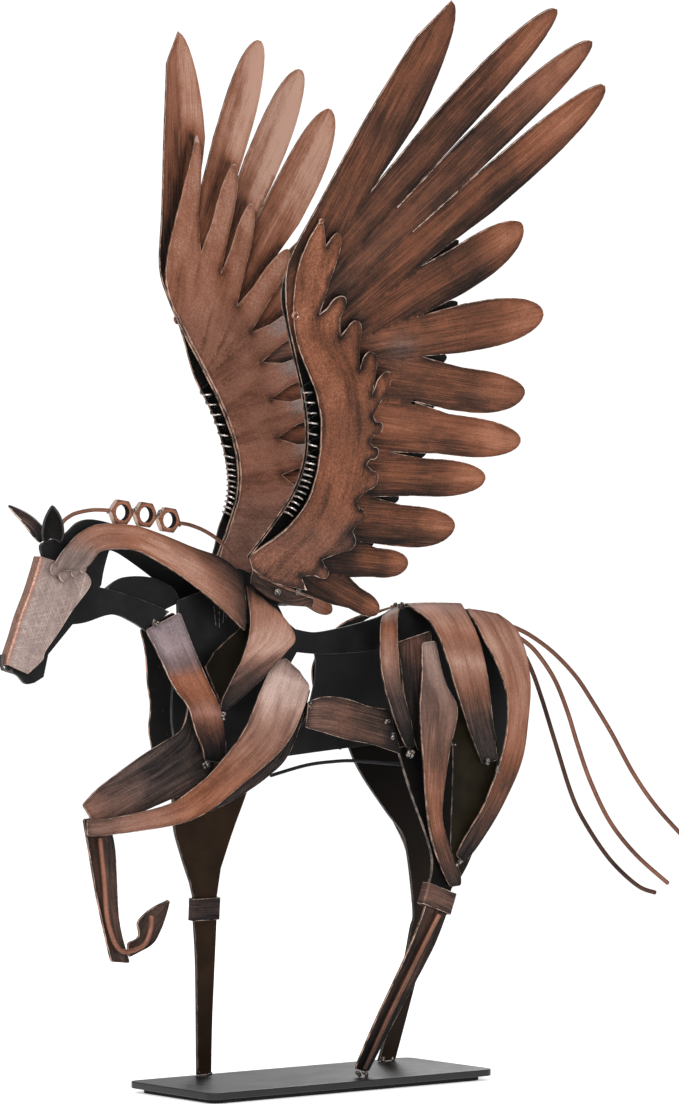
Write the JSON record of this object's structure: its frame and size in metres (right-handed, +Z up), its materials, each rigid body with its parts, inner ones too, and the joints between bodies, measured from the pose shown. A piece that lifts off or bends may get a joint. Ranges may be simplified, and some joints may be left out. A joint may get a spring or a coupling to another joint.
{
  "type": "metal winged horse statue",
  "caption": "Standing winged horse welded from brushed sheet-metal straps, one foreleg raised, feathered sheet wings swept up, on a flat rectangular steel base.",
  "frame": {"origin": "middle of the base's underside", "axes": "+Z up, the horse faces -X, its left side is -Y"},
  "size_m": [0.4848, 0.27, 0.5998],
  "materials": {
    "back_plate": "satin black paint",
    "base_pad": "satin black paint",
    "base_plate": "satin black paint",
    "belly_wire": "satin black paint",
    "face_plate": "cross-brushed silver pink over bare metal",
    "front_mane_wire": "copper brown brushed over black, with bare edges",
    "head_neck_plate": "satin black paint",
    "left_crest_band": "copper brown brushed over black, with bare edges",
    "left_croup_front_strap": "copper brown brushed over black, with bare edges",
    "left_croup_strap": "copper brown brushed over black, with bare edges",
    "left_ear": "satin black paint",
    "left_elbow_band": "dark copper brushed over black",
    "left_flank_band": "dark copper brushed over black",
    "left_forearm_plate": "dark copper brushed over black",
    "left_haunch_inner_band": "dark copper brushed over black",
    "left_hind_rod": "copper brown brushed over black, with bare edges",
    "left_hind_trough": "dark copper brushed over black",
    "left_hock_band": "dark copper brushed over black",
    "left_raised_hoof": "dark copper brushed over black",
    "left_rump_strap": "copper brown brushed over black, with bare edges",
    "left_shin_rod": "copper brown brushed over black, with bare edges",
    "left_shin_trough": "dark copper brushed over black",
    "left_shoulder_sweep": "copper brown brushed over black, with bare edges",
    "left_thigh_plate": "dark copper brushed over black",
    "left_thigh_spear": "copper brown brushed over black, with bare edges",
    "left_throat_strap": "copper brown brushed over black, with bare edges",
    "left_wing_bracket": "dark copper brushed over black",
    "left_wing_inner_coverts": "copper brown brushed over black, with bare edges",
    "left_wing_main_feathers": "copper brown brushed over black, with bare edges",
    "left_wing_outer_coverts": "copper brown brushed over black, with bare edges",
    "left_wing_spring": "darkened spring steel",
    "left_withers_strap": "copper brown brushed over black, with bare edges",
    "mane_nut_1": "copper brown brushed over black, with bare edges",
    "mane_nut_2": "copper brown brushed over black, with bare edges",
    "mane_nut_3": "copper brown brushed over black, with bare edges",
    "rear_mane_wire": "copper brown brushed over black, with bare edges",
    "right_barrel_sheet": "satin black paint",
    "right_crest_band": "copper brown brushed over black, with bare edges",
    "right_croup_front_strap": "copper brown brushed over black, with bare edges",
    "right_croup_strap": "copper brown brushed over black, with bare edges",
    "right_ear": "satin black paint",
    "right_flank_band": "dark copper brushed over black",
    "right_fore_cannon": "dark copper brushed over black",
    "right_foreleg_plate": "dark copper brushed over black",
    "right_hind_leg_plate": "dark copper brushed over black",
    "right_knee_band": "dark copper brushed over black",
    "right_rump_strap": "copper brown brushed over black, with bare edges",
    "right_shoulder_sweep": "copper brown brushed over black, with bare edges",
    "right_thigh_spear": "copper brown brushed over black, with bare edges",
    "right_throat_strap": "copper brown brushed over black, with bare edges",
    "right_wing_bracket": "dark copper brushed over black",
    "right_wing_inner_coverts": "copper brown brushed over black, with bare edges",
    "right_wing_main_feathers": "copper brown brushed over black, with bare edges",
    "right_wing_outer_coverts": "copper brown brushed over black, with bare edges",
    "right_wing_spring": "darkened spring steel",
    "right_withers_strap": "copper brown brushed over black, with bare edges",
    "tail_rod_1": "copper brown brushed over black, with bare edges",
    "tail_rod_2": "copper brown brushed over black, with bare edges",
    "tail_rod_3": "dark copper brushed over black",
    "throat_band": "satin black paint"
  },
  "bodies": {
    "root": {"back_plate": "back_plate", "base_pad": "base_pad", "base_plate": "base_plate", "belly_wire": "belly_wire", "face_plate": "face_plate", "front_mane_wire": "front_mane_wire", "head_neck_plate": "head_neck_plate", "left_crest_band": "left_crest_band", "left_croup_front_strap": "left_croup_front_strap", "left_croup_strap": "left_croup_strap", "left_ear": "left_ear", "left_elbow_band": "left_elbow_band", "left_flank_band": "left_flank_band", "left_forearm_plate": "left_forearm_plate", "left_haunch_inner_band": "left_haunch_inner_band", "left_hind_rod": "left_hind_rod", "left_hind_trough": "left_hind_trough", "left_hock_band": "left_hock_band", "left_raised_hoof": "left_raised_hoof", "left_rump_strap": "left_rump_strap", "left_shin_rod": "left_shin_rod", "left_shin_trough": "left_shin_trough", "left_shoulder_sweep": "left_shoulder_sweep", "left_thigh_plate": "left_thigh_plate", "left_thigh_spear": "left_thigh_spear", "left_throat_strap": "left_throat_strap", "left_wing_bracket": "left_wing_bracket", "left_wing_inner_coverts": "left_wing_inner_coverts", "left_wing_main_feathers": "left_wing_main_feathers", "left_wing_outer_coverts": "left_wing_outer_coverts", "left_wing_spring": "left_wing_spring", "left_withers_strap": "left_withers_strap", "mane_nut_1": "mane_nut_1", "mane_nut_2": "mane_nut_2", "mane_nut_3": "mane_nut_3", "rear_mane_wire": "rear_mane_wire", "right_barrel_sheet": "right_barrel_sheet", "right_crest_band": "right_crest_band", "right_croup_front_strap": "right_croup_front_strap", "right_croup_strap": "right_croup_strap", "right_ear": "right_ear", "right_flank_band": "right_flank_band", "right_fore_cannon": "right_fore_cannon", "right_foreleg_plate": "right_foreleg_plate", "right_hind_leg_plate": "right_hind_leg_plate", "right_knee_band": "right_knee_band", "right_rump_strap": "right_rump_strap", "right_shoulder_sweep": "right_shoulder_sweep", "right_thigh_spear": "right_thigh_spear", "right_throat_strap": "right_throat_strap", "right_wing_bracket": "right_wing_bracket", "right_wing_inner_coverts": "right_wing_inner_coverts", "right_wing_main_feathers": "right_wing_main_feathers", "right_wing_outer_coverts": "right_wing_outer_coverts", "right_wing_spring": "right_wing_spring", "right_withers_strap": "right_withers_strap", "tail_rod_1": "tail_rod_1", "tail_rod_2": "tail_rod_2", "tail_rod_3": "tail_rod_3", "throat_band": "throat_band"}
  },
  "joints": []
}
